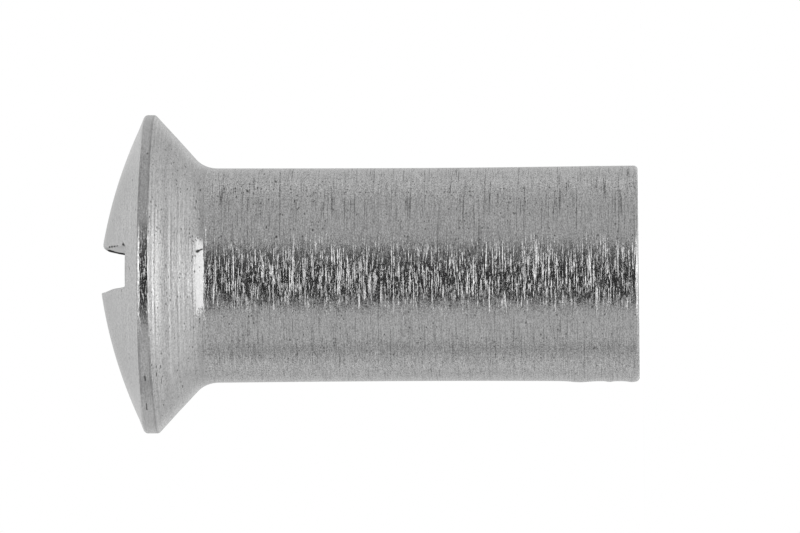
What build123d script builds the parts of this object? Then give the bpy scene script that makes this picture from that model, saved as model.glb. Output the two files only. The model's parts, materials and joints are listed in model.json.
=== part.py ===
from build123d import *

import os
from math import radians, tan

# Sleeve nut: a one-piece barrel nut with a raised countersunk head and a screwdriver slot.
#
# The nut is turned and headed from one bar of stainless steel, so it is one solid. A round sleeve
# stands on its open end, with a 6 mm thread up its middle. A countersunk cone flares out of the sleeve
# to a narrow cylindrical rim, and a low dome with a slot across it closes the top. The frame has its
# origin at the centre of the sleeve's open end, +Z runs up the axis to the head, and the slot runs
# along Y. All sizes are in millimetres.

# Driving dimensions.
sleeve_diameter = 8.0
head_diameter = 11.93
thread_minor_diameter = 5.0  # the wall left by the tapping drill of an M6 x 1 thread
rim_height = 18.48  # from the open end up to the edge where the dome starts
rim_width = 0.42  # length of the cylindrical rim between dome and cone
dome_rise = 1.76  # from the rim's edge up to the point of the dome
dome_radius = 17.45  # of the turned arc, which meets the axis at a slight point
cone_half_angle = 47.35  # of the countersink, measured from the axis

# Edges and corners.
underhead_fillet = 1.1  # between sleeve and cone
rim_dome_round = 0.16  # between rim and dome
rim_cone_round = 0.05  # between rim and cone
end_edge_round = 0.1

# The blind threaded bore.
bore_depth = 15.5  # full-diameter length of the drilled hole, from the open end
drill_half_angle = 59.0
mouth_diameter = 6.2  # of the countersink that leads the screw in

# The screwdriver slot.
slot_floor_height = 19.03
slot_floor_width = 1.48
slot_draft = 4.0  # lean of each wall
slot_offset = 0.10  # the slot is struck this far off the axis, towards +X
slot_corner_round = 0.12
slot_lip_round = 0.06

# Sizes that follow from these.
sleeve_radius = sleeve_diameter / 2
head_radius = head_diameter / 2
bore_radius = thread_minor_diameter / 2
mouth_radius = mouth_diameter / 2
cone_top = rim_height - rim_width
cone_bottom = cone_top - (head_radius - sleeve_radius) / tan(radians(cone_half_angle))
dome_top = rim_height + dome_rise
drill_tip = bore_depth + bore_radius / tan(radians(drill_half_angle))
slot_cut_top = dome_top + 1.0
slot_half_floor = slot_floor_width / 2
slot_half_top = slot_half_floor + (slot_cut_top - slot_floor_height) * tan(radians(slot_draft))


def corner(section, across, up):
    """The corner of a half section that lies at a given distance from the axis and height."""
    return section.vertices().sort_by_distance((across, up))[0]


with BuildPart() as sleeve_nut:
    # Outer form: half the section, revolved. It starts on the axis at the open end.
    with BuildSketch(Plane.XZ) as outer_section:
        with BuildLine():
            Polyline(
                (0, dome_top),
                (0, 0),
                (sleeve_radius, 0),
                (sleeve_radius, cone_bottom),
                (head_radius, cone_top),
                (head_radius, rim_height),
            )
            RadiusArc((head_radius, rim_height), (0, dome_top), -dome_radius)
        make_face()
        fillet(corner(outer_section, sleeve_radius, 0), end_edge_round)
        fillet(corner(outer_section, sleeve_radius, cone_bottom), underhead_fillet)
        fillet(corner(outer_section, head_radius, cone_top), rim_cone_round)
        fillet(corner(outer_section, head_radius, rim_height), rim_dome_round)
    revolve(axis=Axis.Z)

    # Blind bore with its lead-in countersink and the cone that the drill leaves at the bottom.
    with BuildSketch(Plane.XZ) as bore_section:
        with BuildLine():
            Polyline(
                (0, 0),
                (mouth_radius, 0),
                (bore_radius, mouth_radius - bore_radius),
                (bore_radius, bore_depth),
                (0, drill_tip),
                close=True,
            )
        make_face()
    revolve(axis=Axis.Z, mode=Mode.SUBTRACT)

    # Screwdriver slot, cut right across the dome with leaning walls and rounded floor corners.
    with BuildSketch(Plane.XZ) as slot_section:
        with BuildLine():
            Polyline(
                (slot_offset - slot_half_floor, slot_floor_height),
                (slot_offset + slot_half_floor, slot_floor_height),
                (slot_offset + slot_half_top, slot_cut_top),
                (slot_offset - slot_half_top, slot_cut_top),
                close=True,
            )
        make_face()
        fillet(slot_section.vertices().group_by(Axis.Y)[0], slot_corner_round)
    extrude(amount=head_diameter, both=True, mode=Mode.SUBTRACT)

    # The slot's mouth is one curved loop on the dome. Its lips are eased all round.
    slot_mouth = sleeve_nut.edges(Select.LAST).filter_by(GeomType.BSPLINE)
    fillet(slot_mouth, slot_lip_round)

sleeve_nut.part.label = "sleeve_nut"

os.makedirs("parts", exist_ok=True)
export_step(sleeve_nut.part, "parts/sleeve_nut.step")
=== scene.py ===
"""The looks of a stainless steel sleeve nut: its thread, its turned outside, its slot and its finish.

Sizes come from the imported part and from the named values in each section. The nut stands on its open
end with its head up. Its mesh is made in millimetres and brought to metres at the end.
"""

import json
from math import cos, exp, hypot, pi, radians, sin, sqrt, tan

import bmesh
import bpy
from mathutils import Matrix, Vector


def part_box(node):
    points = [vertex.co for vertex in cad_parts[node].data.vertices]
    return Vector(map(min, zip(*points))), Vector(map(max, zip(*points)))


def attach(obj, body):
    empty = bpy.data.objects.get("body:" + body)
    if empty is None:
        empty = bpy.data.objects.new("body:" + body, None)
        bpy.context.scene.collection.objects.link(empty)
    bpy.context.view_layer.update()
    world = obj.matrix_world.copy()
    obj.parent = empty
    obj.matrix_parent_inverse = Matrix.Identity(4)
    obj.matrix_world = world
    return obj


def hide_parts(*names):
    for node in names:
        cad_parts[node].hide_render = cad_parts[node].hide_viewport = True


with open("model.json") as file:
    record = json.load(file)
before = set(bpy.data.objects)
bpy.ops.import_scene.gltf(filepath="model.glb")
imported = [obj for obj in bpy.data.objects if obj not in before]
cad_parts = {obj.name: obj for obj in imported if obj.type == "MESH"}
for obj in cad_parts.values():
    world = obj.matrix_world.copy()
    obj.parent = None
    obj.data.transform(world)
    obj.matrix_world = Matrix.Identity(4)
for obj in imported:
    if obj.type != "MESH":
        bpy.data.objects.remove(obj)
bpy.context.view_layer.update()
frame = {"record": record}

# ---------------------------------------------------------------------------------------------------
# The thread. A blind hole is drilled up the sleeve, countersunk at its mouth and tapped M6 x 1,
# right-hand. The drill's cone closes it, and the lead of the tap tapers the last turns away.
# ---------------------------------------------------------------------------------------------------

mounts = {mount["name"]: mount for mount in frame["record"]["mounts"]}
bore_radius = mounts["thread"]["dims"]["r_mm"]
drill_depth = 15.5
drill_half_angle = radians(59)
drill_tip = drill_depth + bore_radius / tan(drill_half_angle)
drill_rings = (0.1, 0.5, 1.0)  # shares of the way from the drill's tip to its shoulder
mouth_radius = 3.1
thread_pitch = 1.0
thread_root_radius = 3.0
thread_crest = 0.25  # share of a pitch that each flat crest takes
thread_flank = 0.29  # share that each flank takes
thread_fade = (12.6, 13.8)  # heights between which the groove tapers away
thread_top = thread_fade[1] + 0.2  # the wall above this is plain

around = 192  # points in a ring
finishes = ["thread", "end_face", "sleeve", "countersink", "rim", "dome", "slot"]  # as the mesh has them
nut = bmesh.new()


def ring(radius, height):
    """A level ring of points about the axis."""
    turns = [2 * pi * i / around for i in range(around)]
    return [nut.verts.new((radius * cos(turn), radius * sin(turn), height)) for turn in turns]


def skin(first, last, finish):
    """A band of faces between rings. The rings run down the bore, over the end and up the outside."""
    for i in range(around):
        j = (i + 1) % around
        face = nut.faces.new((first[i], first[j], last[j], last[i]))
        face.material_index = finishes.index(finish)


def eased(low, high, value):
    """0 below low, 1 above high, and a smooth step between."""
    share = min(max((value - low) / (high - low), 0.0), 1.0)
    return share * share * (3 - 2 * share)


def thread_radius(height, turn):
    """The tapped wall's radius: a 60 degree groove that climbs to the right, opened by the countersink."""
    phase = (height / thread_pitch - turn) % 1.0
    flank = min(phase - thread_crest, 1.0 - phase) / thread_flank
    depth = min(max(flank, 0.0), 1.0) * (1 - eased(*thread_fade, height))
    return max(bore_radius + depth * (thread_root_radius - bore_radius), mouth_radius - height)


tip = nut.verts.new((0, 0, drill_tip))
bore = [ring(bore_radius * share, drill_tip + (drill_depth - drill_tip) * share) for share in drill_rings]
bore.append(ring(bore_radius, thread_top))
for i in range(around):
    nut.faces.new((tip, bore[0][(i + 1) % around], bore[0][i]))
for first, last in zip(bore, bore[1:]):
    skin(first, last, "thread")

# Rows of points climb with the thread, so that its edges are clean helices. A row's last point is its
# first one a pitch higher. Points past either end of the thread fall together there, to be merged.
crest_phases = [0.0, thread_crest / 2, thread_crest]
root_phases = [thread_crest + thread_flank / 2, thread_crest + thread_flank, 1 - thread_flank]
row_phases = crest_phases + root_phases + [1 - thread_flank / 2]
row_starts = [turn + phase for turn in range(-1, int(thread_top) + 1) for phase in row_phases]
rows = []
for start in row_starts:
    row = []
    for i in range(around + 1):
        turn = i / around
        height = min(max((start + turn) * thread_pitch, 0.0), thread_top)
        radius = thread_radius(height, turn)
        row.append(nut.verts.new((radius * cos(2 * pi * turn), radius * sin(2 * pi * turn), height)))
    rows.append(row)
for lower, upper in zip(rows, rows[1:]):
    for i in range(around):
        corners = (upper[i], upper[i + 1], lower[i + 1], lower[i])
        if len({round(corner.co.z, 6) for corner in corners}) > 1:
            nut.faces.new(corners)

# ---------------------------------------------------------------------------------------------------
# The sleeve. Bar turned down to 8 mm and rubbed round and round with a fine abrasive. It is a hair
# slimmer at its waist and swollen at its open end, where the burr from facing it was pressed flat.
# ---------------------------------------------------------------------------------------------------

sleeve_radius = mounts["sleeve"]["dims"]["r_mm"]
end_edge_round = 0.15
end_edge_steps = 6
sleeve_over = 0.018  # how far it stands over its nominal radius beside the head
waist = 0.028
end_swell = 0.020
end_swell_length = 8.0
bulges = [  # what is left of the burr: height, half length, turn, half width, rise
    (2.25, 0.42, radians(180), radians(16), 0.045),
    (1.13, 0.14, radians(184), radians(12), 0.035),
    (0.30, 0.17, radians(177), radians(14), 0.035),
    (1.75, 0.25, radians(8), radians(15), 0.012),
]
fine_top = 3.0  # the rings are closer together below this height, for the bulges
fine_steps = 36
plain_steps = 36
underhead_fillet = 1.1
fillet_steps = 16
polish_start = 16.16  # height in the fillet above which it is polished
cone_foot = 16.25  # height where cone and sleeve would meet without their fillet
rim_foot = 18.055  # height where cone and rim would meet
rim_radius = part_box("sleeve_nut")[1].x * 1000


def rounded(before, corner, after, radius, steps):
    """The points of an arc that rounds off a corner of the section, tangent to both of its sides."""
    before, corner, after = Vector(before), Vector(corner), Vector(after)
    back = (before - corner).normalized()
    ahead = (after - corner).normalized()
    half = back.angle(ahead) / 2
    centre = corner + (back + ahead).normalized() * radius / sin(half)
    start = corner + back * radius / tan(half) - centre
    sweep = start.angle_signed(corner + ahead * radius / tan(half) - centre)
    return [centre + Matrix.Rotation(-sweep * step / steps, 2) @ start for step in range(steps + 1)]


rim_foot_point = (rim_radius, rim_foot)
cone_foot_point = (sleeve_radius, cone_foot)
end_edge = rounded((0, 0), (sleeve_radius, 0), cone_foot_point, end_edge_round, end_edge_steps)
fillet = rounded((sleeve_radius, 0), cone_foot_point, rim_foot_point, underhead_fillet, fillet_steps)
wall_low, wall_high, fillet_top = end_edge[-1].y, fillet[0].y, fillet[-1].y
fine_heights = [wall_low + (fine_top - wall_low) * step / fine_steps for step in range(1, fine_steps + 1)]
plain_heights = [fine_top + (wall_high - fine_top) * step / plain_steps for step in range(1, plain_steps)]
wall = [Vector((sleeve_radius, height)) for height in fine_heights + plain_heights]


def sleeve_form(height):
    """How far the sleeve's wall stands off its nominal radius at a height."""
    swell = sleeve_over + end_swell * (1 - eased(0, end_swell_length, height))
    return (swell - waist * sin(pi * height / cone_foot)) * (1 - eased(wall_high, fillet_top, height))


def sleeve_ring(radius, height):
    """A ring of the sleeve, pushed out where it has a bulge."""
    points = ring(radius + sleeve_form(height), height)
    for i, point in enumerate(points):
        for middle, length, turn, width, rise in bulges:
            off_turn = (2 * pi * i / around - turn + pi) % (2 * pi) - pi
            fall = ((height - middle) / length) ** 2 + (off_turn / width) ** 2
            point.co.xy *= 1 + rise * exp(-fall) / radius
    return points


mouth = ring(mouth_radius, 0.0)
last = sleeve_ring(end_edge[0].x, 0.0)
skin(mouth, last, "end_face")
for point in end_edge[1:] + wall + fillet:
    fresh = sleeve_ring(point.x, point.y)
    skin(last, fresh, "sleeve" if point.y <= polish_start else "countersink")
    last = fresh

# ---------------------------------------------------------------------------------------------------
# The head. A countersunk cone, a narrow rim and a low dome, turned in the same bar. Rim and dome run a
# little out of true with the cone, so the rim is narrower on one side than on the other.
# ---------------------------------------------------------------------------------------------------

head_runout = Vector((0.06, -0.03, 0))
cone_runout = Vector((0.022, 0, 0))
cone_half_angle = radians(47.35)
cone_steps = 24
cone_crown = 0.03  # how far the cone falls away from straight at its rim, on the -Y side
crown_share = 0.34  # share of the cone's length over which it does
rim_top = 18.50
rim_rings = (0.1, 0.5, 0.9)  # shares of the way up the rim's flat
rim_cone_round = 0.14
rim_cone_steps = 6
rim_dome_round = 0.15
rim_dome_steps = 10
rim_end_step = 6  # of its upper rounding, where the finish of the dome takes over
dome_radius = 17.45
dome_centre_height = 2.894
dome_centre_offset = 1.929  # the arc's centre lies this far across the axis, so the dome has a point
arc_reach = 5.465  # outside this the dome runs straight to the rim, which stands a hair above its arc


def head_ring(radius, height, climb=0.0, shift=1.0, crown=0.0):
    """A ring about the head's own axis, or part of the way to it where shift is below 1. climb slides it
    along the cone, to where the rim now meets it, and crown draws it in on the -Y side."""
    points = ring(radius, height)
    for point in points:
        outward = Vector((point.co.x, point.co.y, 0)).normalized()
        fall = crown * max(-outward.y, 0.0) ** 2
        point.co += head_runout * shift
        beside = head_runout * climb - cone_runout * min(2 * climb, 1)
        point.co.z += beside.dot(outward) / tan(cone_half_angle)
        point.co += fall * (Vector((0, 0, sin(cone_half_angle))) - outward * cos(cone_half_angle))
    return points


def dome_height(radius):
    """Height of the dome at a distance from the head's axis."""
    return dome_centre_height + sqrt(dome_radius**2 - (radius + dome_centre_offset) ** 2)


def dome_reach(height):
    """Distance from the head's axis at which the dome has a height."""
    return sqrt(dome_radius**2 - (height - dome_centre_height) ** 2) - dome_centre_offset


rim_top_point = (rim_radius, rim_top)
arc_end = (arc_reach, dome_height(arc_reach))
lower_corner = rounded(cone_foot_point, rim_foot_point, rim_top_point, rim_cone_round, rim_cone_steps)
upper_corner = rounded(rim_foot_point, rim_top_point, arc_end, rim_dome_round, rim_dome_steps)
for step in range(1, cone_steps):
    share = step / cone_steps
    point = fillet[-1].lerp(lower_corner[0], share)
    crown = cone_crown * max(share - 1 + crown_share, 0) ** 2 / crown_share**2
    fresh = head_ring(point.x, point.y, share, share, crown)
    skin(last, fresh, "countersink")
    last = fresh
for number, point in enumerate(lower_corner):
    share = number / rim_cone_steps
    fresh = head_ring(point.x, point.y, climb=1, crown=cone_crown * (1 - share))
    skin(last, fresh, "countersink" if share < 0.5 else "rim")
    last = fresh
for share in rim_rings:
    point = lower_corner[-1].lerp(upper_corner[0], share)
    fresh = head_ring(point.x, point.y, climb=1 - share)
    skin(last, fresh, "rim")
    last = fresh
for number, point in enumerate(upper_corner):
    fresh = head_ring(point.x, point.y)
    skin(last, fresh, "rim" if number < rim_end_step else "dome")
    last = fresh

# ---------------------------------------------------------------------------------------------------
# The dome and its screwdriver slot. The slot is struck a little off centre, with leaning walls, and
# runs out on the dome short of the rim. Its lips are rubbed round in the middle and sharp at the ends.
# ---------------------------------------------------------------------------------------------------

slot_offset = mounts["drive_slot"]["pos_m"][0] * 1000
slot_floor = mounts["drive_slot"]["pos_m"][2] * 1000
slot_x = head_runout.x + slot_offset
slot_half_floor = 0.74
slot_lean = tan(radians(4.0))
slot_corner = 0.16
slot_lips = {  # how round the lip is at distances along the slot, on the -X and on the +X side
    -1: ((0.3, 0.05), (0.9, 0.19), (2.0, 0.17), (3.0, 0.06), (5.0, 0.04)),
    1: ((0.4, 0.24), (1.2, 0.12), (2.0, 0.07), (3.0, 0.05), (5.0, 0.05)),
}
slot_round_share = 0.45  # a corner or a lip takes no more than this share of the slot's depth
slot_point_gap = 0.006  # the least distance across between two points of the section
slot_end = dome_reach(slot_floor)
slot_cuts = 11  # even cuts along the slot on each side, to be moved to their places in its section
slot_grid_start = 0.62
slot_grid_step = 0.05
slot_grid_end = slot_grid_start + slot_grid_step * (slot_cuts - 1)
slot_grid_reach = 1.9  # beyond this the mesh is left where it is
slot_grid_fade = (slot_end + 0.02, slot_end + 0.42)
slot_cut_end = slot_end + 0.57
slot_face_reach = 1.3  # faces nearer to its middle than this have the slot's own finish
slot_face_depth = 0.01  # if they lie this deep under the dome
outer_steps = 5  # between the rings of the dome outside the slot's ends, and then inside them
inner_steps = 26
edge_rings = (0.35, 0.7, 1.0)  # shares of the way from the rim to the dome's arc

dome_rings = []
for share in edge_rings:
    point = upper_corner[-1].lerp(Vector(arc_end), share)
    dome_rings.append(head_ring(point.x, point.y))
for step in range(1, outer_steps + 1):
    radius = arc_reach + (slot_end - arc_reach) * step / outer_steps
    dome_rings.append(head_ring(radius, dome_height(radius)))
for step in range(inner_steps - 1, 0, -1):
    radius = slot_end * step / inner_steps
    dome_rings.append(head_ring(radius, dome_height(radius)))
for fresh in dome_rings:
    skin(last, fresh, "dome")
    last = fresh
apex = nut.verts.new(head_runout + Vector((0, 0, dome_height(0))))
for i in range(around):
    nut.faces.new((last[i], last[(i + 1) % around], apex)).material_index = finishes.index("dome")


def lip_round(side, along):
    """How round the lip on one side is at a distance along the slot, read between the listed values."""
    listed = slot_lips[side]
    for (near, first), (far, second) in zip(listed, listed[1:]):
        if along < far:
            return first + (second - first) * max(along - near, 0) / (far - near)
    return listed[-1][1]


def slot_section(depth, lip):
    """Points (across, up) of half the slot's section, from its floor to the dome, at a depth of slot."""
    corner = min(slot_corner, slot_round_share * depth)
    lip = min(lip, slot_round_share * depth)
    floor_edge = slot_half_floor - corner
    wall_rise = depth - lip - corner
    wall_run = wall_rise * slot_lean
    wall_top = slot_half_floor + wall_run
    points = [(floor_edge + corner * sin(a), corner * (1 - cos(a))) for a in (0, pi / 6, pi / 3, pi / 2)]
    for share in (1 / 3, 2 / 3, 1):
        points.append((slot_half_floor + wall_run * share, corner + wall_rise * share))
    for a in (pi / 8, pi / 4, 3 * pi / 8, pi / 2):
        points.append((wall_top + lip * (1 - cos(a)), depth - lip * (1 - sin(a))))
    spread = [points[0]]
    for across, up in points[1:]:
        spread.append((max(across, spread[-1][0] + slot_point_gap), up))
    return spread


def slot_place(aside, side, along, depth):
    """Where a point of the even grid goes in the slot's section: how far aside, and how high, or None."""
    section = slot_section(max(depth, 0.0), lip_round(side, abs(along)))
    if aside <= slot_grid_start:
        return aside * section[0][0] / slot_grid_start, 0.0
    if aside >= slot_grid_end:
        stretch = (aside - slot_grid_end) / (slot_grid_reach - slot_grid_end)
        return section[-1][0] + (slot_grid_reach - section[-1][0]) * stretch, None
    place = (aside - slot_grid_start) / slot_grid_step
    index = min(int(place + 1e-6), slot_cuts - 2)
    share = place - index
    (near, low), (far, high) = section[index], section[index + 1]
    return near + (far - near) * share, low + (high - low) * share


def off_head_axis(place):
    """Distance of a place from the head's own axis."""
    return hypot(place.x - head_runout.x, place.y - head_runout.y)


for side in (-1, 1):
    for cut in range(slot_cuts):
        plane_x = slot_x + side * (slot_grid_start + slot_grid_step * cut)
        region = []
        for face in nut.faces:
            if all(point.co.z > rim_top and off_head_axis(point.co) < slot_cut_end for point in face.verts):
                region.append(face)
        points = list({point for face in region for point in face.verts})
        edges = list({edge for face in region for edge in face.edges})
        geometry = points + edges + region
        bmesh.ops.bisect_plane(nut, geom=geometry, dist=1e-7, plane_co=(plane_x, 0, 0), plane_no=(1, 0, 0))
for point in [point for point in nut.verts if point.co.z > slot_floor - 0.5]:
    across, along = point.co.x - slot_x, point.co.y - head_runout.y
    reach = off_head_axis(point.co)
    if abs(across) > slot_grid_reach or reach > slot_grid_fade[1]:
        continue
    side = 1 if across > 0 else -1
    fade = 1 - eased(*slot_grid_fade, reach)
    depth = dome_height(reach) - slot_floor
    for _ in range(2):  # the second time with the depth of the place that the first one found
        moved, up = slot_place(abs(across), side, along, depth)
        moved = abs(across) + (moved - abs(across)) * fade
        depth = dome_height(hypot(slot_offset + side * moved, along)) - slot_floor
    point.co.x = slot_x + side * moved
    point.co.z = slot_floor + (depth if up is None else min(up, depth))

for face in nut.faces:
    centre = face.calc_center_median()
    if centre.z > slot_floor - 1e-4 and abs(centre.x - slot_x) < slot_face_reach:
        if dome_height(off_head_axis(centre)) - centre.z > slot_face_depth:
            face.material_index = finishes.index("slot")

# The whole nut is made by now. The dome and the open end are put askew, as they were turned and faced.
head_tilt = tan(radians(0.3))  # the dome leans this much, lower on the +X side
end_lean = tan(radians(0.3))  # the open end was faced this much askew, shorter on the +X side
end_lean_height = 2.0
merge_distance = 5e-5
sharp_angle = radians(30)
for point in nut.verts:
    lean = eased(lower_corner[-1].y, upper_corner[0].y, point.co.z)
    point.co.z -= head_tilt * (point.co.x - head_runout.x) * lean
    lean = 1 - eased(0, end_lean_height, point.co.z)
    point.co.z += end_lean * (point.co.x + sleeve_radius) * lean

bmesh.ops.remove_doubles(nut, verts=nut.verts, dist=merge_distance)
bmesh.ops.recalc_face_normals(nut, faces=nut.faces)
for face in nut.faces:
    face.smooth = True
for edge in nut.edges:
    if edge.calc_face_angle(0) > sharp_angle:
        edge.smooth = False
bmesh.ops.scale(nut, vec=(0.001, 0.001, 0.001), verts=nut.verts)
mesh = bpy.data.meshes.new("sleeve_nut_steel")
nut.to_mesh(mesh)
nut.free()
steel = bpy.data.objects.new("sleeve_nut_steel", mesh)
bpy.context.scene.collection.objects.link(steel)
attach(steel, "root")
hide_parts("sleeve_nut")

# ---------------------------------------------------------------------------------------------------
# The finish. Plain stainless steel, polished only in the fillet. Every surface keeps the marks of the
# tool that made it, which run round the axis, with small pits and a few scratches from handling.
# Some of the tones are painted highlights, painted shade and painted light.
# ---------------------------------------------------------------------------------------------------


def wire(tree, source, socket):
    """Feed a socket from an output, or give it a plain value."""
    if isinstance(source, bpy.types.NodeSocket):
        tree.links.new(source, socket)
    else:
        socket.default_value = source


def maths(tree, operation, first, second=0.0, third=0.0):
    """A Math node. Each operand is a number or an output."""
    made = tree.nodes.new("ShaderNodeMath")
    made.operation = operation
    for source, socket in zip((first, second, third), made.inputs):
        wire(tree, source, socket)
    return made.outputs["Value"]


def plus(tree, first, second):
    """The sum of two operands."""
    return maths(tree, "ADD", first, second)


def times(tree, first, second):
    """The product of two operands."""
    return maths(tree, "MULTIPLY", first, second)


def vectors(tree, operation, first, second=(0, 0, 0)):
    """A Vector Math node. Each operand is a vector or an output."""
    made = tree.nodes.new("ShaderNodeVectorMath")
    made.operation = operation
    wire(tree, first, made.inputs[0])
    wire(tree, second, made.inputs[1])
    return made.outputs["Value" if operation in ("LENGTH", "DOT_PRODUCT") else "Vector"]


def scaled(tree, vector, factor):
    """A vector times a number or an output."""
    made = tree.nodes.new("ShaderNodeVectorMath")
    made.operation = "SCALE"
    wire(tree, vector, made.inputs[0])
    wire(tree, factor, made.inputs["Scale"])
    return made.outputs["Vector"]


def parts_of(tree, vector):
    """The X, Y and Z of a vector."""
    made = tree.nodes.new("ShaderNodeSeparateXYZ")
    wire(tree, vector, made.inputs["Vector"])
    return made.outputs


def ramp(tree, value, low, high, at_low=0.0, at_high=1.0):
    """at_low where value has not reached low, at_high where it is past high, and a smooth step between.
    Where low is above high, the step runs down from low to high."""
    made = tree.nodes.new("ShaderNodeMapRange")
    made.interpolation_type = "SMOOTHSTEP"
    wire(tree, value, made.inputs["Value"])
    for name, source in (("From Min", low), ("From Max", high), ("To Min", at_low), ("To Max", at_high)):
        wire(tree, source, made.inputs[name])
    return made.outputs["Result"]


def blended(tree, share, first, second):
    """first where share is 0 and second where it is 1."""
    made = tree.nodes.new("ShaderNodeMix")
    for name, source in (("Factor", share), ("A", first), ("B", second)):
        wire(tree, source, made.inputs[name])
    return made.outputs["Result"]


def group_tree(name, inputs, outputs):
    """A shader node group with named sockets, and its own input and output nodes."""
    tree = bpy.data.node_groups.new(name, "ShaderNodeTree")
    for socket_name, kind in inputs:
        tree.interface.new_socket(socket_name, in_out="INPUT", socket_type="NodeSocket" + kind)
    for socket_name, kind in outputs:
        tree.interface.new_socket(socket_name, in_out="OUTPUT", socket_type="NodeSocket" + kind)
    return tree, tree.nodes.new("NodeGroupInput").outputs, tree.nodes.new("NodeGroupOutput").inputs


def use(tree, group, **inputs):
    """A group in a material, with its inputs set by name."""
    made = tree.nodes.new("ShaderNodeGroup")
    made.node_tree = group
    for name, source in inputs.items():
        wire(tree, source, made.inputs[name])
    return made.outputs


# Marks that run round the axis: stretched noise. Along is the distance along the turned profile.
marks_group, given, result = group_tree(
    "tool_marks",
    [
        ("Position", "Vector"),
        ("Along", "Float"),
        ("Length", "Float"),
        ("Width", "Float"),
        ("Depth", "Float"),
    ],
    [("Height", "Float"), ("Value", "Float")],
)
x, y, z = parts_of(marks_group, given["Position"])
stretched = marks_group.nodes.new("ShaderNodeCombineXYZ")
for source, size, axis in ((x, "Length", "X"), (y, "Length", "Y"), (given["Along"], "Width", "Z")):
    wire(marks_group, maths(marks_group, "DIVIDE", source, given[size]), stretched.inputs[axis])
grain = marks_group.nodes.new("ShaderNodeTexNoise")
grain.inputs["Scale"].default_value = 1.0
grain.inputs["Detail"].default_value = 1.0
wire(marks_group, stretched.outputs["Vector"], grain.inputs["Vector"])
centred = maths(marks_group, "SUBTRACT", grain.outputs["Fac"], 0.5)
wire(marks_group, times(marks_group, centred, given["Depth"]), result["Height"])
wire(marks_group, grain.outputs["Fac"], result["Value"])

# Small pits: some of the points of a cellular noise, each as large as its own cell's chance.
pits_group, given, result = group_tree(
    "pits",
    [("Position", "Vector"), ("Spacing", "Float"), ("Size", "Float"), ("Share", "Float")],
    [("Mask", "Float")],
)
cells = pits_group.nodes.new("ShaderNodeTexVoronoi")
cells.inputs["Scale"].default_value = 1.0
spaced = vectors(pits_group, "DIVIDE", given["Position"], given["Spacing"])
wire(pits_group, spaced, cells.inputs["Vector"])
chance = pits_group.nodes.new("ShaderNodeSeparateColor")
wire(pits_group, cells.outputs["Color"], chance.inputs["Color"])
reach = times(pits_group, cells.outputs["Distance"], given["Spacing"])
size = times(pits_group, given["Size"], plus(pits_group, chance.outputs["Green"], 0.4))
pit = ramp(pits_group, maths(pits_group, "DIVIDE", reach, size), 0.35, 1.0, 1.0, 0.0)
kept = maths(pits_group, "LESS_THAN", chance.outputs["Red"], given["Share"])
wire(pits_group, times(pits_group, pit, kept), result["Mask"])

# One line right round the axis, at a set place along the profile: a mask for painted highlights and shade
# along a turned line.
line_group, given, result = group_tree(
    "painted_turned_line",
    [("Along", "Float"), ("Place", "Float"), ("Width", "Float")],
    [("Mask", "Float")],
)
away = maths(line_group, "ABSOLUTE", maths(line_group, "SUBTRACT", given["Along"], given["Place"]))
away = maths(line_group, "DIVIDE", away, given["Width"])
wire(line_group, ramp(line_group, away, 0.2, 1.0, 1.0, 0.0), result["Mask"])

# One scratch: a straight line between two points, as wide as Width.
scratch_group, given, result = group_tree(
    "scratch",
    [("Position", "Vector"), ("Start", "Vector"), ("End", "Vector"), ("Width", "Float")],
    [("Mask", "Float")],
)
run = vectors(scratch_group, "SUBTRACT", given["End"], given["Start"])
offset = vectors(scratch_group, "SUBTRACT", given["Position"], given["Start"])
covered = vectors(scratch_group, "DOT_PRODUCT", offset, run)
covered = maths(scratch_group, "DIVIDE", covered, vectors(scratch_group, "DOT_PRODUCT", run, run))
covered = maths(scratch_group, "MINIMUM", maths(scratch_group, "MAXIMUM", covered, 0.0), 1.0)
gap = vectors(scratch_group, "SUBTRACT", offset, scaled(scratch_group, run, covered))
gap = maths(scratch_group, "DIVIDE", vectors(scratch_group, "LENGTH", gap), given["Width"])
wire(scratch_group, ramp(scratch_group, gap, 0.2, 0.6, 1.0, 0.0), result["Mask"])

grain_length = 0.07  # of the fine grain that every turned face has, with its width and depth
grain_width = 0.032
grain_depth = 0.008
noise_low, noise_high = 0.25, 0.75  # nearly all of the noise lies between these
# The dirt tone, and the scratch tone below, also give the painted shade along the slot's +X lip.
dirt_and_shade_tone = 0.05
nick_tone = 0.12
pit_tone = 0.14
dome_nick_tone = 0.20
scratch_and_shade_tone = 0.30
polish_tone = 0.39
pit_spacing = 0.14
pit_size = 0.050
pit_squeeze = (1, 1, 1.7)  # pits are this much longer round the axis than along it


def turned_steel(name, tones, layers, by_radius=False):
    """A turned face's material: its tree, shader, position, (x, y, z), tone and height, in millimetres.

    Its marks lie side by side along the axis, or else along the radius. Its fine grain has the range of
    tones, and layers lists its other marks as (length, width, depth, shade).
    """
    material = bpy.data.materials.new("steel_" + name)
    material.use_nodes = True
    mesh.materials.append(material)
    tree = material.node_tree
    shader = tree.nodes["Principled BSDF"]
    place = tree.nodes.new("ShaderNodeTexCoord")
    position = scaled(tree, place.outputs["Object"], 1000)
    x, y, z = parts_of(tree, position)
    along = z
    if by_radius:
        along = vectors(tree, "LENGTH", vectors(tree, "MULTIPLY", position, (1, 1, 0)))
    height = 0.0
    tone = 0.0
    grain = (grain_length, grain_width, grain_depth, tones)
    others = [(length, width, depth, (-shade, shade)) for length, width, depth, shade in layers]
    for length, width, depth, shades in [grain] + others:
        size = {"Length": length, "Width": width, "Depth": depth}
        marks = use(tree, marks_group, Position=position, Along=along, **size)
        height = plus(tree, height, marks["Height"])
        tone = plus(tree, tone, ramp(tree, marks["Value"], noise_low, noise_high, *shades))
    return tree, shader, position, (x, y, z), tone, height


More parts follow.
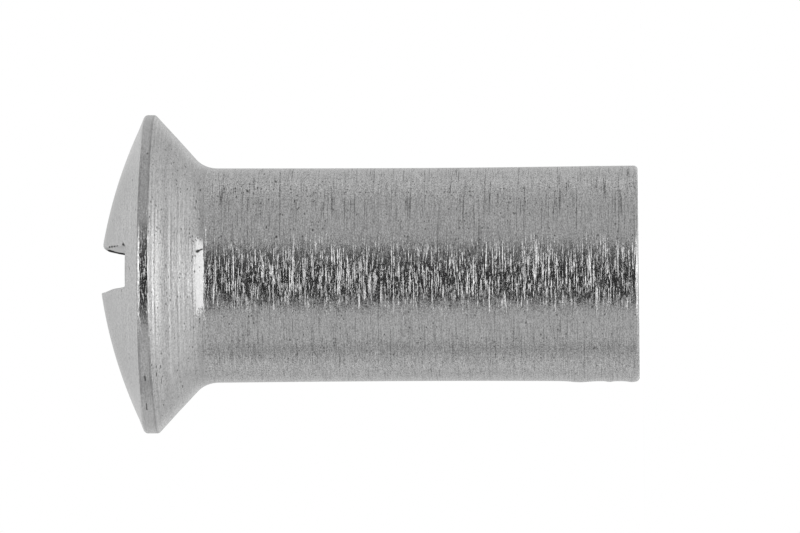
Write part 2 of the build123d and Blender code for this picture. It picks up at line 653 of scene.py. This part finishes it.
def finished(tree, shader, tone, height, roughness):
    """Give a shader its tone, its bumps and its roughness, drawn out round the axis."""
    colour = tree.nodes.new("ShaderNodeCombineColor")
    for channel in ("Red", "Green", "Blue"):
        wire(tree, tone, colour.inputs[channel])
    wire(tree, colour.outputs["Color"], shader.inputs["Base Color"])
    metal = ramp(tree, tone, dirt_and_shade_tone, nick_tone)  # dirt and painted shade are not metal
    wire(tree, metal, shader.inputs["Metallic"])
    shader.inputs["Specular IOR Level"].default_value = 0
    wire(tree, roughness, shader.inputs["Roughness"])
    shader.inputs["Anisotropic"].default_value = 0.6
    shader.inputs["Anisotropic Rotation"].default_value = 0.25
    bump = tree.nodes.new("ShaderNodeBump")
    bump.inputs["Distance"].default_value = 0.001
    bump.inputs["Strength"].default_value = 1.0
    wire(tree, height, bump.inputs["Height"])
    wire(tree, bump.outputs["Normal"], shader.inputs["Normal"])


def speckled(tree, position, tone, share):
    """A tone with dark pits in it, where share is the part of the places for a pit that have one."""
    squeezed = vectors(tree, "MULTIPLY", position, pit_squeeze)
    pits = use(tree, pits_group, Position=squeezed, Spacing=pit_spacing, Size=pit_size, Share=share)
    return blended(tree, pits["Mask"], tone, pit_tone)


def painted_lines(tree, along, rings):
    """Painted highlights and shade along single turned lines, each listed as (place, width, shade)."""
    shading = 0.0
    for place, width, shade in rings:
        line = use(tree, line_group, Along=along, Place=place, Width=width)["Mask"]
        shading = plus(tree, shading, times(tree, line, shade))
    return shading


def scored(tree, position, tone, dark, marks):
    """A tone with straight marks on it. marks lists each as (start, end, width), in millimetres."""
    for start, end, width in marks:
        mark = use(tree, scratch_group, Position=position, Start=start, End=end, Width=width)
        tone = blended(tree, mark["Mask"], tone, dark)
    return tone


# The thread and the open end, which was faced: plain marks. The materials follow the order of finishes.
thread_tones = (0.45, 0.55)
thread_marks = [(3.0, 0.06, 0.004, 0.0)]
tree, shader, position, (x, y, z), tone, height = turned_steel("thread", thread_tones, thread_marks)
finished(tree, shader, tone, height, roughness=0.3)
end_tones = (0.48, 0.62)
end_marks = [(4.0, 0.08, 0.005, 0.02)]
end_face = turned_steel("end_face", end_tones, end_marks, by_radius=True)
tree, shader, position, (x, y, z), tone, height = end_face
finished(tree, shader, tone, height, roughness=0.25)

# The sleeve: fine grain, short and long marks, dark lines set with pits, and a few scratches.
sleeve_tones = (0.415, 0.725)
sleeve_marks = [(0.3, 0.045, 0.014, 0.055), (1.3, 0.075, 0.042, 0.03), (6.0, 0.14, 0.025, 0.0)]
tree, shader, position, (x, y, z), tone, height = turned_steel("sleeve", sleeve_tones, sleeve_marks)
aside = maths(tree, "ABSOLUTE", x)
# A slight dip just below the polished fillet keeps the sleeve looking straight up to the fillet's edge.
dip = ramp(tree, aside, 1.2, 2.2, -0.06, 0.0)
height = plus(tree, height, ramp(tree, z, 15.78, 16.2, 0.0, dip))
# Light and dark differ more towards the sides.
mean_tone = 0.57
contrast = ramp(tree, aside, 2.2, 3.2, 1.0, 1.45)
tone = maths(tree, "MULTIPLY_ADD", maths(tree, "SUBTRACT", tone, mean_tone), contrast, mean_tone)
# The dark lines end below the fillet. They and the pits are fainter and fewer on the -X side, and most
# of the pits lie on the lines, in patches.
line_shade = -0.27
pit_share, line_pit_share = 0.42, 1.2  # of the places for a pit, off the lines, and what a line adds
lines = use(tree, marks_group, Position=position, Along=z, Length=2.0, Width=0.05, Depth=1.0)
patches = use(tree, marks_group, Position=position, Along=z, Length=1.3, Width=1.0, Depth=1.0)
line = ramp(tree, lines["Value"], 0.42, 0.3)
line = times(tree, line, ramp(tree, z, 15.85, 16.0, 1.0, 0.0))
side_share = ramp(tree, x, 0.0, 3.2, 0.55, 1.0)
patch = ramp(tree, patches["Value"], 0.35, 0.62)
pitted = plus(tree, times(tree, line, line_pit_share), pit_share)
pitted = times(tree, pitted, times(tree, side_share, patch))
tone = plus(tree, tone, times(tree, line, times(tree, side_share, line_shade)))
tone = speckled(tree, position, tone, share=pitted)
pits = [  # single deep ones
    ((-2.83, -2.82, 1.69), (-2.87, -2.78, 1.67), 0.10),
    ((-2.81, -2.84, 2.16), (-2.83, -2.82, 2.15), 0.07),
    ((-2.46, -3.16, 1.97), (-2.48, -3.14, 1.97), 0.07),
    ((-3.74, -1.42, 2.40), (-3.79, -1.26, 2.39), 0.09),
    ((3.13, -2.48, 15.43), (3.09, -2.53, 15.42), 0.08),
    ((2.47, -3.14, 15.95), (2.41, -3.19, 15.94), 0.08),
    ((3.16, -2.45, 15.02), (3.10, -2.52, 15.01), 0.07),
    ((3.04, -2.59, 15.02), (2.99, -2.66, 15.01), 0.07),
    ((2.82, -2.83, 14.96), (2.78, -2.87, 14.96), 0.07),
    ((3.06, -2.57, 14.58), (3.00, -2.64, 14.56), 0.10),
    ((3.18, -2.42, 14.20), (3.13, -2.49, 14.19), 0.07),
    ((3.74, -1.41, 13.98), (3.70, -1.52, 13.97), 0.07),
    ((3.44, -2.05, 13.53), (3.37, -2.15, 13.52), 0.08),
    ((1.29, -3.78, 13.45), (1.26, -3.79, 13.43), 0.08),
    ((1.66, -3.63, 13.82), (1.61, -3.66, 13.82), 0.07),
    ((1.54, -3.69, 12.10), (1.50, -3.70, 12.10), 0.07),
    ((2.66, -2.98, 12.79), (2.59, -3.05, 12.79), 0.06),
    ((2.39, -3.20, 12.62), (2.29, -3.27, 12.68), 0.05),
    ((2.65, -2.98, 12.05), (2.60, -3.03, 12.09), 0.05),
    ((-2.81, -2.85, 16.11), (-2.85, -2.80, 16.07), 0.09),
    ((-2.61, -3.03, 16.19), (-2.71, -2.93, 16.14), 0.07),
    ((-3.18, -2.42, 15.80), (-3.18, -2.42, 15.75), 0.06),
    ((-3.67, -1.59, 16.20), (-3.66, -1.62, 16.16), 0.06),
    ((-3.68, -1.56, 15.98), (-3.73, -1.44, 15.97), 0.06),
    ((3.83, -1.15, 16.06), (3.90, -0.91, 15.96), 0.05),
]
strokes = [  # dark lines and scratches
    ((2.96, -2.69, 14.59), (2.30, -3.26, 14.56), 0.04),
    ((2.72, -2.93, 13.99), (2.18, -3.35, 13.98), 0.04),
    ((2.23, -3.32, 14.64), (1.84, -3.55, 14.64), 0.04),
    ((-1.38, -3.75, 11.21), (-1.49, -3.71, 11.10), 0.08),
    ((-1.31, -3.78, 10.21), (-1.38, -3.75, 10.06), 0.07),
    ((-2.97, -2.68, 12.10), (-3.19, -2.42, 11.96), 0.05),
    ((-0.12, -4.00, 2.16), (-0.39, -3.97, 2.03), 0.06),
    ((-3.15, -2.45, 0.23), (-3.31, -2.24, 0.19), 0.10),
    ((-3.31, -2.24, 0.19), (-3.56, -1.82, 0.21), 0.12),
]
tone = scored(tree, position, tone, nick_tone, pits)
tone = scored(tree, position, tone, scratch_and_shade_tone, strokes)
finished(tree, shader, tone, height, roughness=0.2)

# The countersink: painted highlights and painted shade along single turned lines between the marks, and a
# fillet that is polished in the middle.
cone_tones = (0.41, 0.66)
cone_marks = [(0.3, 0.045, 0.010, 0.05), (1.5, 0.06, 0.010, 0.045), (12.0, 0.14, 0.006, 0.01)]
tree, shader, position, (x, y, z), tone, height = turned_steel("countersink", cone_tones, cone_marks)
aside = maths(tree, "ABSOLUTE", x)
# Polishing has taken most of the marks off the fillet, and left a slight edge where it starts.
fillet_marks = ramp(tree, aside, 1.2, 1.7, 0.15, 1.0)
height = times(tree, height, ramp(tree, z, 16.35, 16.6, fillet_marks, 1.0))
edge_rise = ramp(tree, aside, 1.2, 2.2, 0.022, 0.0)
height = plus(tree, height, ramp(tree, z, 16.0, 16.3, 0.0, edge_rise))
cone_ring_light = [
    (18.063, 0.050, 0.07),
    (18.011, 0.035, -0.11),
    (17.941, 0.040, 0.18),
    (17.871, 0.035, -0.14),
    (17.819, 0.045, 0.15),
    (17.708, 0.055, 0.08),
    (17.508, 0.160, -0.07),
    (17.364, 0.050, 0.15),
    (17.290, 0.045, -0.07),
    (17.147, 0.040, 0.05),
    (17.098, 0.030, -0.05),
    (17.016, 0.040, 0.13),
    (16.872, 0.050, 0.09),
    (16.802, 0.040, -0.03),
    (16.697, 0.045, 0.07),
    (16.539, 0.035, -0.12),
]
# The turned lines' painted highlights and shade are strongest in the middle, weaker towards the sides.
rings = painted_lines(tree, z, cone_ring_light)
tone = plus(tree, tone, times(tree, rings, ramp(tree, aside, 1.8, 3.0, 1.0, 0.3)))
# Painted light: the cone's tone is a little lighter on the -X side, and a painted highlight lies in the
# middle beside the rim.
tone = plus(tree, tone, ramp(tree, x, -1.0, -3.0, 0.0, 0.024))
crown_highlight = ramp(tree, aside, 2.0, 3.5, 0.032, 0.0)
tone = plus(tree, tone, times(tree, ramp(tree, z, 17.6, 17.8), crown_highlight))
# The polish evens out the tone of the fillet's middle.
polished = ramp(tree, z, 16.42, 16.5, 0.65, 0.0)
polished = times(tree, polished, ramp(tree, aside, 1.2, 1.6, 1.0, 0.0))
tone = blended(tree, polished, tone, polish_tone)
tone = speckled(tree, position, tone, share=0.22)
cone_nicks = [
    ((0.57, -4.26, 16.53), (0.48, -4.29, 16.55), 0.06),
    ((0.41, -4.32, 16.56), (0.36, -4.34, 16.58), 0.05),
    ((0.00, -4.25, 16.47), (-0.03, -4.24, 16.46), 0.07),
    ((1.42, -4.21, 16.66), (1.39, -4.21, 16.65), 0.07),
    ((1.27, -4.22, 16.63), (1.25, -4.21, 16.61), 0.06),
    ((1.31, -4.11, 16.54), (1.28, -4.13, 16.56), 0.06),
    ((1.17, -4.06, 16.43), (1.13, -4.04, 16.41), 0.06),
    ((1.25, -3.98, 16.36), (1.21, -3.99, 16.35), 0.06),
    ((1.18, -3.94, 16.27), (1.16, -3.94, 16.26), 0.06),
    ((1.11, -4.14, 16.52), (1.09, -4.14, 16.51), 0.06),
    ((-1.74, -3.76, 16.31), (-1.76, -3.75, 16.31), 0.06),
    ((-1.85, -3.70, 16.32), (-1.88, -3.69, 16.32), 0.06),
    ((-1.69, -3.70, 16.16), (-1.71, -3.69, 16.16), 0.05),
    ((1.48, -5.35, 17.65), (1.37, -5.38, 17.66), 0.05),
    ((1.55, -5.39, 17.71), (1.50, -5.41, 17.71), 0.05),
    ((1.67, -5.32, 17.68), (1.59, -5.34, 17.67), 0.04),
    ((4.59, -3.02, 17.59), (4.55, -3.03, 17.56), 0.08),
    ((4.39, -2.54, 17.21), (4.37, -2.55, 17.20), 0.06),
    ((3.99, -2.50, 16.89), (3.94, -2.50, 16.85), 0.09),
    ((3.09, -2.76, 16.31), (3.05, -2.80, 16.31), 0.08),
    ((2.97, -4.98, 17.87), (2.83, -5.06, 17.87), 0.04),
    ((2.22, -5.36, 17.87), (2.11, -5.40, 17.87), 0.06),
    ((2.21, -5.22, 17.76), (2.15, -5.24, 17.75), 0.06),
    ((3.64, -4.11, 17.58), (3.54, -4.18, 17.58), 0.04),
    ((4.08, -3.29, 17.36), (4.01, -3.36, 17.36), 0.05),
    ((3.38, -2.64, 16.52), (3.37, -2.66, 16.52), 0.05),
    ((2.65, -3.29, 16.44), (2.59, -3.34, 16.44), 0.06),
    ((2.43, -3.50, 16.48), (2.33, -3.56, 16.48), 0.04),
    ((-3.52, -4.55, 17.88), (-3.57, -4.51, 17.88), 0.06),
    ((-3.77, -4.34, 17.88), (-3.88, -4.25, 17.89), 0.06),
    ((-3.49, -4.36, 17.73), (-3.58, -4.29, 17.73), 0.06),
    ((-3.98, -3.91, 17.72), (-4.15, -3.73, 17.73), 0.04),
    ((-4.88, -2.68, 17.72), (-4.92, -2.59, 17.72), 0.06),
    ((-4.76, -0.97, 17.06), (-4.80, -0.91, 17.08), 0.05),
    ((-4.21, -2.33, 17.01), (-4.26, -2.26, 17.02), 0.05),
    ((-4.15, -0.77, 16.43), (-4.11, -0.81, 16.39), 0.07),
]
tick_mark = [
    ((0.73, -4.12, 16.38), (0.75, -4.08, 16.34), 0.14),
    ((0.76, -4.08, 16.33), (0.82, -4.00, 16.19), 0.07),
]
tone = scored(tree, position, tone, nick_tone, cone_nicks)
tone = scored(tree, position, tone, dirt_and_shade_tone, tick_mark)
finished(tree, shader, tone, height, roughness=ramp(tree, z, 16.4, 16.6, 0.12, 0.22))

# The rim: a painted highlight along the middle of its upper edge, and painted shade along the sides of its
# lower edge, which lies lower on the -X side. Painted light makes the whole rim a little lighter there.
rim_tones = (0.43, 0.61)
rim_marks = [(0.3, 0.05, 0.014, 0.05), (0.7, 0.07, 0.036, 0.0)]
tree, shader, position, (x, y, z), tone, height = turned_steel("rim", rim_tones, rim_marks)
aside = maths(tree, "ABSOLUTE", x)
tone = plus(tree, tone, ramp(tree, x, -1.0, -3.0, 0.0, 0.055))
# A painted highlight along the upper edge, and painted shade along the lower edge.
rim_highlight = painted_lines(tree, z, [(18.465, 0.06, ramp(tree, aside, 1.2, 1.7, 0.21, 0.0))])
corner_shade_place = ramp(tree, x, -3.2, -5.0, 18.095, 18.025)
corner_shade = painted_lines(tree, z, [(corner_shade_place, 0.10, ramp(tree, aside, 2.2, 3.0, 0.0, -0.14))])
tone = plus(tree, tone, plus(tree, rim_highlight, corner_shade))
rim_nicks = [
    ((-3.90, -4.50, 18.31), (-4.04, -4.36, 18.30), 0.07),
    ((-4.87, -3.38, 18.31), (-5.00, -3.19, 18.32), 0.05),
    ((-5.01, -3.16, 18.32), (-5.10, -3.02, 18.31), 0.06),
    ((4.39, -4.13, 18.20), (4.36, -4.16, 18.20), 0.07),
]
tone = scored(tree, position, tone, nick_tone, rim_nicks)
finished(tree, shader, tone, height, roughness=0.2)

# The dome: fine marks, and painted light: its tone is lighter towards its sides, and most of all on the +X
# side.
dome_tones = (0.435, 0.60)
dome_marks = [(0.15, 0.06, 0.006, 0.045), (3.0, 0.08, 0.006, 0.025)]
dome = turned_steel("dome", dome_tones, dome_marks, by_radius=True)
tree, shader, position, (x, y, z), tone, height = dome
aside = maths(tree, "ABSOLUTE", x)
# Painted light, lighter towards the dome's sides and its +X side.
tone = plus(tree, tone, ramp(tree, aside, 3.2, 5.0, -0.01, 0.085))
tone = plus(tree, tone, ramp(tree, x, 2.8, 4.4, 0.0, 0.045))
tone = speckled(tree, position, tone, share=0.04)
dome_nicks = [
    ((3.41, -4.15, 18.77), (3.37, -4.17, 18.77), 0.08),
    ((-3.19, -3.89, 18.89), (-3.22, -3.87, 18.89), 0.08),
    ((-2.38, -4.04, 19.04), (-2.42, -4.01, 19.04), 0.06),
    ((-2.50, -3.64, 19.14), (-2.53, -3.61, 19.14), 0.06),
    ((-2.41, -2.27, 19.53), (-2.44, -2.22, 19.53), 0.06),
    ((0.11, -5.19, 18.84), (0.05, -5.21, 18.83), 0.09),
    ((-0.70, -4.33, 19.17), (-0.73, -4.33, 19.16), 0.10),
]
# Painted shade where the slot's +X lip runs out on the dome, used on the dome and in the slot.
near_lip_shade = [  # where the slot's +X lip runs out on the dome
    ((0.975, -2.50, 19.72), (0.975, -2.70, 19.68), 0.10),
    ((0.970, -2.92, 19.62), (0.970, -3.08, 19.58), 0.12),
    ((0.966, -3.30, 19.51), (0.966, -3.50, 19.45), 0.09),
    ((0.965, -3.70, 19.38), (0.965, -3.85, 19.33), 0.06),
    ((1.025, -4.43, 19.11), (0.940, -4.60, 19.07), 0.12),
    ((0.940, -4.60, 19.07), (0.850, -4.55, 19.10), 0.12),
    ((0.850, -4.55, 19.10), (0.860, -4.30, 19.19), 0.07),
    ((1.025, -4.43, 19.11), (0.970, -4.35, 19.16), 0.07),
]
tone = scored(tree, position, tone, dome_nick_tone, dome_nicks)
tone = scored(tree, position, tone, dirt_and_shade_tone, near_lip_shade)
finished(tree, shader, tone, height, roughness=0.25)

# The slot: painted shade along its +X lip, and a fainter painted shade before it starts.
slot_tones = (0.48, 0.56)
slot_marks = [(0.3, 0.1, 0.003, 0.02)]
tree, shader, position, (x, y, z), tone, height = turned_steel("slot", slot_tones, slot_marks)
# Painted shade along the +X lip, fainter where it starts.
faint_lip_shade = [((0.960, -2.40, 19.82), (0.957, -0.90, 19.86), 0.25)]
lip_shade = [
    ((0.957, -0.90, 19.84), (0.955, -0.20, 19.81), 0.30),
    ((0.955, -0.20, 19.81), (0.953, 0.75, 19.78), 0.45),
    ((0.953, 0.75, 19.78), (0.939, 1.35, 19.59), 0.55),
    ((0.939, 1.35, 19.59), (0.930, 2.30, 19.45), 0.60),
    ((0.930, 2.30, 19.45), (0.925, 3.00, 19.30), 0.60),
]
tone = scored(tree, position, tone, scratch_and_shade_tone, faint_lip_shade)
tone = scored(tree, position, tone, dirt_and_shade_tone, lip_shade)
tone = scored(tree, position, tone, dirt_and_shade_tone, near_lip_shade)
finished(tree, shader, tone, height, roughness=0.3)

# ---------------------------------------------------------------------------------------------------
# The studio. A white light tent, with a dark gap in front where the camera looks in, and two bright
# panels beyond the head and beyond the open end. The nut stands on a sheet of white paper.
# ---------------------------------------------------------------------------------------------------

camera_azimuth = radians(-2.3)  # how far the camera stands round from -Y, towards -X
front_wall, side_wall, back_rise = 0.47, 0.58, 0.11  # how light the cloth is
shade_tone = 0.42
gap_tones = (0.02, 0.115)  # of its -X part and of its +X part
gap_left, gap_right = (-0.60, -0.50), (0.46, 0.58)
gap_top = (0.80, 0.83)  # 34 degrees up and down from the camera, where the panels begin
panel_end = (0.16, 0.26)  # about 80 degrees up and down
panel_light = 1.85
paper_tone = 0.85
paper_glow = 0.45
paper_half_size = 2
world = bpy.data.worlds.new("tent")
bpy.context.scene.world = world
world.use_nodes = True
tent = world.node_tree
tent.nodes.clear()

# A place on the tent is a direction from the nut: to the side, to the back and up, each from -1 to 1.
toward = tent.nodes.new("ShaderNodeTexCoord")
turned = tent.nodes.new("ShaderNodeVectorRotate")
turned.rotation_type = "Z_AXIS"
turned.inputs["Angle"].default_value = -camera_azimuth
wire(tent, toward.outputs["Generated"], turned.inputs["Vector"])
side, back, up = parts_of(tent, turned.outputs["Vector"])
front = times(tent, back, -1.0)
off_side = maths(tent, "ABSOLUTE", side)
off_level = maths(tent, "ABSOLUTE", up)
# The cloth grows lighter from front to back, and towards its top and bottom except in front.
walls = ramp(tent, back, -0.86, -0.6, front_wall, side_wall)
walls = plus(tent, walls, ramp(tent, back, 0.0, 0.5, 0.0, back_rise))
lift = times(tent, maths(tent, "POWER", off_level, 4.0), ramp(tent, front, 0.1, 0.3, 0.36, 0.0))
walls = plus(tent, walls, lift)
# Above the head, the tent is darker between the panel and its back, and lighter behind that.
shade = times(tent, ramp(tent, up, 0.2, 0.5), ramp(tent, front, -0.56, -0.40))
walls = blended(tent, shade, walls, shade_tone)
behind = ramp(tent, up, 0.4, 0.8, -0.07, 0.37)
behind = times(tent, behind, ramp(tent, front, -0.62, -0.54, 1.0, 0.0))
walls = plus(tent, walls, behind)
# Straight behind the nut it is lighter, above and below the level of the eye.
sweep = times(tent, ramp(tent, back, 0.86, 0.96), ramp(tent, off_level, 0.04, 0.16))
walls = plus(tent, walls, times(tent, sweep, 0.14))
# The -X half is lighter in front and a little darker at the back.
left_gain = ramp(tent, front, -0.2, 0.1, 0.97, 1.09)
walls = times(tent, walls, blended(tent, ramp(tent, side, 0.2, -0.7), 1.0, left_gain))
# The lower edge of the tent is a little darker on either side.
edge = times(tent, ramp(tent, up, -0.2, -0.35), ramp(tent, up, -0.72, -0.6))
edge = times(tent, edge, ramp(tent, off_side, 0.5, 0.68, 0.0, 0.14))
walls = times(tent, walls, maths(tent, "SUBTRACT", 1.0, edge))
# A seam of the tent runs up the -X side, square to the camera.
off_seam = maths(tent, "ABSOLUTE", maths(tent, "SUBTRACT", front, 0.025))
seam = ramp(tent, off_seam, 0.03, 0.11, 0.41, 0.0)
seam = times(tent, seam, ramp(tent, side, -0.8, -0.9))
walls = times(tent, walls, maths(tent, "SUBTRACT", 1.0, seam))
# The gap is a tall slit about the camera, darkest on its -X side.
slit = ramp(tent, side, 0.18, 0.28, *gap_tones)
gap = times(tent, ramp(tent, side, *gap_left), ramp(tent, side, *gap_right, 1.0, 0.0))
gap = times(tent, gap, ramp(tent, front, *gap_top))
walls = blended(tent, gap, walls, slit)
# The panels lie beyond its ends, and are wider further up and down.
panel_edge = ramp(tent, off_level, 0.62, 0.72, 0.23, 0.49)
past_edge = maths(tent, "SUBTRACT", off_side, panel_edge)
panel = ramp(tent, past_edge, -0.05, 0.05, 1.0, 0.0)
panel = times(tent, panel, ramp(tent, front, *panel_end))
panel = times(tent, panel, ramp(tent, front, *gap_top, 1.0, 0.0))
walls = blended(tent, panel, walls, panel_light)
# The nut sees the tent, and the camera sees plain white behind the nut.
lights = tent.nodes.new("ShaderNodeBackground")
wire(tent, walls, lights.inputs["Color"])
white = tent.nodes.new("ShaderNodeBackground")
white.inputs["Color"].default_value = (1, 1, 1, 1)
path = tent.nodes.new("ShaderNodeLightPath")
choose = tent.nodes.new("ShaderNodeMixShader")
wire(tent, path.outputs["Is Camera Ray"], choose.inputs["Fac"])
wire(tent, lights.outputs["Background"], choose.inputs[1])
wire(tent, white.outputs["Background"], choose.inputs[2])
world_output = tent.nodes.new("ShaderNodeOutputWorld")
wire(tent, choose.outputs["Shader"], world_output.inputs["Surface"])

floor_mesh = bpy.data.meshes.new("floor")
near, far = -paper_half_size, paper_half_size
floor_corners = [(near, near, 0), (far, near, 0), (far, far, 0), (near, far, 0)]
floor_mesh.from_pydata(floor_corners, [], [(0, 1, 2, 3)])
floor = bpy.data.objects.new("floor", floor_mesh)
bpy.context.scene.collection.objects.link(floor)
floor.visible_glossy = False  # the steel mirrors the tent all round, and its light comes from all round
floor.visible_shadow = False
paper = bpy.data.materials.new("white_paper")
paper.use_nodes = True
paper_shader = paper.node_tree.nodes["Principled BSDF"]
paper_shader.inputs["Base Color"].default_value = (paper_tone, paper_tone, paper_tone, 1)
paper_shader.inputs["Roughness"].default_value = 1
paper_shader.inputs["Specular IOR Level"].default_value = 0
paper_shader.inputs["Emission Color"].default_value = (1, 1, 1, 1)
paper_shader.inputs["Emission Strength"].default_value = paper_glow
floor_mesh.materials.append(paper)

# ---------------------------------------------------------------------------------------------------
# The camera. It looks at the nut from the side, level with its open end, and lies on its own side, so
# that the nut's head is at the left.
# ---------------------------------------------------------------------------------------------------

camera_distance = 0.355
camera_height = 0.00003
camera_roll = radians(-0.30)
view_width = 0.02996  # that the picture spans at the nut
aim_height = 0.00896  # of the point in the middle of the picture, which lies aim_aside towards +X
aim_aside = 0.000305
camera_data = bpy.data.cameras.new("camera")
camera = bpy.data.objects.new("camera", camera_data)
bpy.context.scene.collection.objects.link(camera)
bpy.context.scene.camera = camera
camera_data.sensor_width = 36
camera_data.lens = camera_data.sensor_width * camera_distance / view_width
camera_data.clip_end = 10
nut_up = Vector((0, 0, 1))
nut_aside = Vector((cos(camera_azimuth), sin(camera_azimuth), 0))
eye = Vector((sin(camera_azimuth), -cos(camera_azimuth), 0)) * camera_distance + nut_up * camera_height
aim = nut_up * aim_height + nut_aside * aim_aside
ahead = (aim - eye).normalized()
upright = (nut_aside - ahead * nut_aside.dot(ahead)).normalized()
right = ahead.cross(upright)
turn = Matrix((right, upright, -ahead)).transposed()
camera.matrix_world = Matrix.Translation(eye) @ (turn @ Matrix.Rotation(camera_roll, 3, "Z")).to_4x4()

bpy.context.scene.view_settings.view_transform = "Standard"
